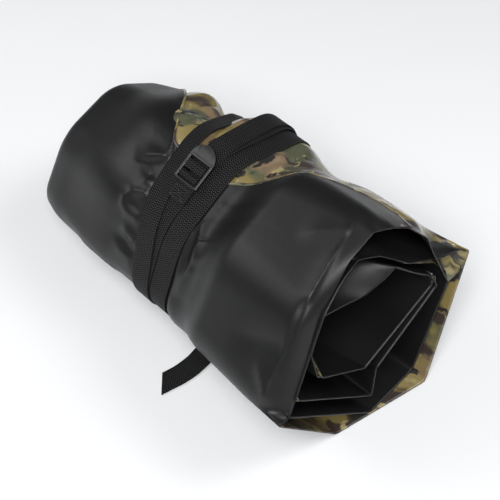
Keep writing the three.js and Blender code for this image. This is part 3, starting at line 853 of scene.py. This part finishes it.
def printed_face():
    """A camouflage print in stretched, torn patches under a glossy clear film."""
    look = Look("printed_film_face")
    warp = look.noise(look.flat(), 35, 3, 0.6)
    base = look.flat(turn=0.3)
    push = look.add("ShaderNodeCombineXYZ", {"X": look.math("MULTIPLY", warp, 0.03),
                                             "Y": look.math("MULTIPLY", warp, -0.02)}).outputs[0]
    shift = look.add("ShaderNodeVectorMath", {0: base, 1: push}, operation="ADD").outputs[0]

    def patches(scale, offset, level, edge):
        """Patches where a noise is above a level, with edges of some softness."""
        moved = look.add("ShaderNodeMapping", {"Vector": shift, "Location": (offset, -offset, 0),
                                               "Scale": scale}).outputs["Vector"]
        value = look.noise(moved, 1.0, 2.5, 0.55, 0.35)
        return look.ramp(value, [(level - edge, 0.0), (level + edge, 1.0)])

    tone = look.noise(base, 14, 3)
    ground = look.ramp(tone, [(0.35, (0.20, 0.15, 0.045)), (0.65, (0.27, 0.215, 0.08))])
    colour = look.mix(patches((13, 24, 1), 3.1, 0.53, 0.03), ground, (0.085, 0.09, 0.05))
    colour = look.mix(patches((17, 28, 1), 11.7, 0.59, 0.03), colour, (0.22, 0.15, 0.085))
    colour = look.mix(patches((15, 33, 1), 7.3, 0.535, 0.025), colour, (0.042, 0.027, 0.024))
    colour = look.mix(patches((38, 66, 1), 1.9, 0.60, 0.02), colour, (0.016, 0.014, 0.013))
    colour = look.mix(patches((45, 50, 1), 5.4, 0.62, 0.02), colour, (0.33, 0.28, 0.13))
    weave = look.noise(base, 1400, 1)
    colour = look.mix(look.math("MULTIPLY", weave, 0.12), colour, (0.03, 0.03, 0.02))
    look.colour(colour)
    look.set(Roughness=0.5, Coat_Weight=0.6, Coat_Roughness=0.08, Coat_IOR=1.42)
    flat = look.flat()
    look.bumps((look.noise(flat, 70, 3, 0.5, 0.6), 0.35, 0.0022),
               (look.noise(flat, 260, 2), 0.12, 0.0006))
    return look.material


def webbing_look():
    """Woven ribs across the strap, each broken into slanting picks. UVs are in millimetres. The rib
    height is painted into the colour: painted highlight on the rib tops and painted shade in the
    grooves.
    """
    look = Look("black_webbing")
    uv = look.add("ShaderNodeUVMap", uv_map="flat").outputs["UV"]
    parts = look.add("ShaderNodeSeparateXYZ", {"Vector": uv})
    u, v = parts.outputs["X"], parts.outputs["Y"]
    fold = look.math("PINGPONG", u, 2.1)
    slanted = look.math("ADD", v, look.math("MULTIPLY", fold, 0.75))
    rib = look.math("SINE", look.math("MULTIPLY", slanted, math.tau / 2.6))
    pick = look.math("SINE", look.math("MULTIPLY", u, math.tau / 2.1))
    woven = look.math("ADD", look.math("MULTIPLY", rib, 0.5), look.math("MULTIPLY", pick, 0.28))
    height = look.math("ADD", look.math("MULTIPLY", woven, 0.5), 0.5)
    edge = look.math("ABSOLUTE", look.math("SUBTRACT", u, WEB_WIDTH / 2))
    selvedge = look.ramp(look.math("DIVIDE", edge, WEB_WIDTH / 2), [(0.9, 0.0), (0.95, 1.0)])
    hair = look.noise(look.solid(), 2600, 2)
    # painted highlight on the rib tops and painted shade in the grooves, from the weave height, plus
    # random fibre tone from the hair noise
    painted_rib_light_and_fibre_tone = look.math("MULTIPLY", look.math("ADD", height, look.math("MULTIPLY", hair, 0.35)), 0.75)
    colour = look.ramp(painted_rib_light_and_fibre_tone, [(0.5, (0.0004, 0.0004, 0.0005)), (0.97, (0.085, 0.085, 0.088))])
    look.colour(look.mix(look.math("MULTIPLY", selvedge, 0.5), colour, (0.008, 0.008, 0.009)))
    look.set(Roughness=0.6, Specular_IOR_Level=0.16)
    look.bumps((height, 1.0, 0.0008), (hair, 0.3, 0.0002))
    return look.material


def moulded_look():
    look = Look("moulded_buckle")
    solid = look.solid()
    grain = look.noise(solid, 2200, 2)
    wear = look.noise(solid, 160, 3)
    look.colour(look.ramp(wear, [(0.35, (0.007, 0.007, 0.0075)), (0.75, (0.013, 0.013, 0.014))]))
    look.rough(look.ramp(wear, [(0.3, 0.33), (0.7, 0.45)]))
    look.set(Specular_IOR_Level=0.55)
    look.bumps((grain, 0.14, 0.0001))
    return look.material


def thread_look():
    look = Look("black_thread")
    twist = look.noise(look.solid(), 3000, 1)
    look.colour(look.ramp(twist, [(0.3, (0.02, 0.02, 0.022)), (0.7, (0.05, 0.05, 0.054))]))
    look.set(Roughness=0.5)
    look.bumps((twist, 0.3, 0.0001))
    return look.material


# ---- assembly ------------------------------------------------------------------------------------
def dress(piece, *materials):
    piece.data.materials.clear()
    for material in materials:
        piece.data.materials.append(material)


def make_two_faced(piece, thickness, first, second):
    """Gives the sheet its thickness, with its own material on each face."""
    shell = piece.modifiers.new("thickness", "SOLIDIFY")
    shell.thickness = thickness * 0.001
    shell.offset = -1
    shell.use_even_offset = False
    shell.material_offset = 1
    shell.material_offset_rim = 0
    dress(piece, first, second)
    apply_modifiers(piece)


black = black_face()
printed = printed_face()
webbing = webbing_look()
moulding = moulded_look()
thread = thread_look()

sheet = build_sheet()
make_two_faced(sheet, SHEET, black, printed)
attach(sheet, "roll")
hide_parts("outer_ply", "inner_ply", "closed_end_fold", "inner_edge_hem")

hem = build_edge_hem()
make_two_faced(hem, HEM, printed, printed)
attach(hem, "roll")
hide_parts("outer_edge_hem")

for build, node, body in ((build_strap, "strap_webbing", "roll"), (build_tail, "strap_tail", "roll"),
                          (build_threaded, "threaded_webbing", "buckle")):
    piece = build()
    dress(piece, webbing)
    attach(piece, body)
    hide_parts(node)

buckle = build_buckle()
dress(buckle, moulding)
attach(buckle, "buckle")
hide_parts("ladder_lock")

stitching = build_stitching()
dress(stitching, thread)
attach(stitching, "roll")
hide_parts("loop_stitching")


# ---- floor, light and camera ---------------------------------------------------------------------
def build_floor():
    mesh = bpy.data.meshes.new("floor")
    half = 6.0
    mesh.from_pydata([(-half, -half, 0), (half, -half, 0), (half, half, 0), (-half, half, 0)], [],
                     [(0, 1, 2, 3)])
    floor = bpy.data.objects.new("floor", mesh)
    floor.location.z = -0.0004    # just below what lies on the ground
    bpy.context.scene.collection.objects.link(floor)
    look = Look("pale_floor")
    tone = look.noise(look.solid(), 2.0, 2)
    look.colour(look.ramp(tone, [(0.3, (0.90, 0.91, 0.925)), (0.7, (0.92, 0.93, 0.945))]))
    look.set(Roughness=0.9, Specular_IOR_Level=0.1)
    dress(floor, look.material)


def area_light(name, place, target, size, power, colour=(1, 1, 1)):
    data = bpy.data.lights.new(name, "AREA")
    data.shape = "RECTANGLE"
    data.size, data.size_y = size
    data.energy = power
    data.color = colour
    light = bpy.data.objects.new(name, data)
    light.location = place
    aim = Vector(target) - Vector(place)
    light.rotation_euler = aim.to_track_quat("-Z", "Y").to_euler()
    bpy.context.scene.collection.objects.link(light)


def build_camera():
    azimuth, elevation = math.radians(CAMERA_AZIMUTH), math.radians(CAMERA_ELEVATION)
    back = Vector((math.sin(azimuth) * math.cos(elevation), -math.cos(azimuth) * math.cos(elevation),
                   math.sin(elevation)))
    target = Vector((OFFSET + CAMERA_TARGET) * 0.001)
    data = bpy.data.cameras.new("camera")
    data.sensor_width = 36
    data.lens = CAMERA_LENS
    camera = bpy.data.objects.new("camera", data)
    camera.location = target + back * CAMERA_DISTANCE
    camera.rotation_euler = (-back).to_track_quat("-Z", "Y").to_euler()
    bpy.context.scene.collection.objects.link(camera)
    bpy.context.scene.camera = camera


def build_world():
    world = bpy.data.worlds.new("studio")
    world.use_nodes = True
    background = world.node_tree.nodes["Background"]
    background.inputs["Color"].default_value = (0.97, 0.98, 1.0, 1)
    background.inputs["Strength"].default_value = 0.13
    bpy.context.scene.world = world


build_floor()
build_world()
build_camera()
area_light("camera_side", (1.2, -1.4, 2.3), (0, 0, 0), (1.3, 1.3), 70)
area_light("far_side", (1.3, 1.3, 2.2), (0, 0, 0), (1.2, 1.2), 26)
area_light("left", (-1.4, -1.0, 1.5), (0, 0, 0.1), (1.4, 1.0), 14)
bpy.context.scene.view_settings.view_transform = "Standard"
